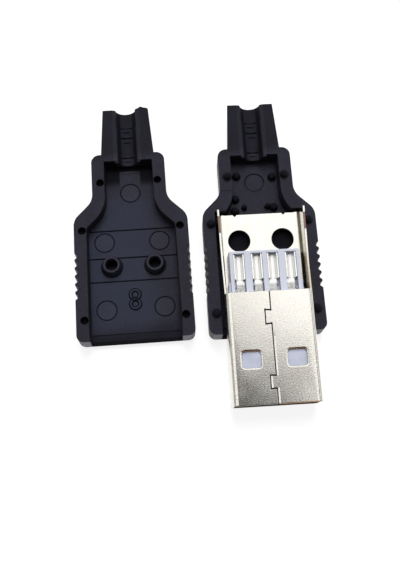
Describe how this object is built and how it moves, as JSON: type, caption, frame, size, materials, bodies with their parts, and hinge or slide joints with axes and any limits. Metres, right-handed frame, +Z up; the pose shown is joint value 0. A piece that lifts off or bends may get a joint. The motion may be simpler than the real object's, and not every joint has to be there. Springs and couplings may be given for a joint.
{
  "type": "rectangular data plug kit",
  "caption": "Opened rectangular data-cable plug: two pinned dark plastic cover halves with cable grooves, and a sheet-metal plug with solder cups.",
  "frame": {"origin": "middle of the layout's bounding box, on the surface that it lies on", "axes": "+Y from the plug's mating tip towards the cable necks, +X from the socket cover to the pin cover, +Z up out of the open covers"},
  "size_m": [0.0346, 0.0452, 0.0065],
  "materials": {
    "cover_plastic": "moulded, slightly glossy near-black",
    "shell_metal": "nickel plated sheet, fine rolled grain",
    "insulator_plastic": "smooth pale lavender-grey",
    "contact_metal": "bright tin plated"
  },
  "bodies": {
    "root": {"socket_cover": "cover_plastic", "pin_cover": "cover_plastic", "plug_shell": "shell_metal", "insulator": "insulator_plastic", "contact_power": "contact_metal", "contact_data_minus": "contact_metal", "contact_data_plus": "contact_metal", "contact_ground": "contact_metal"}
  },
  "joints": []
}
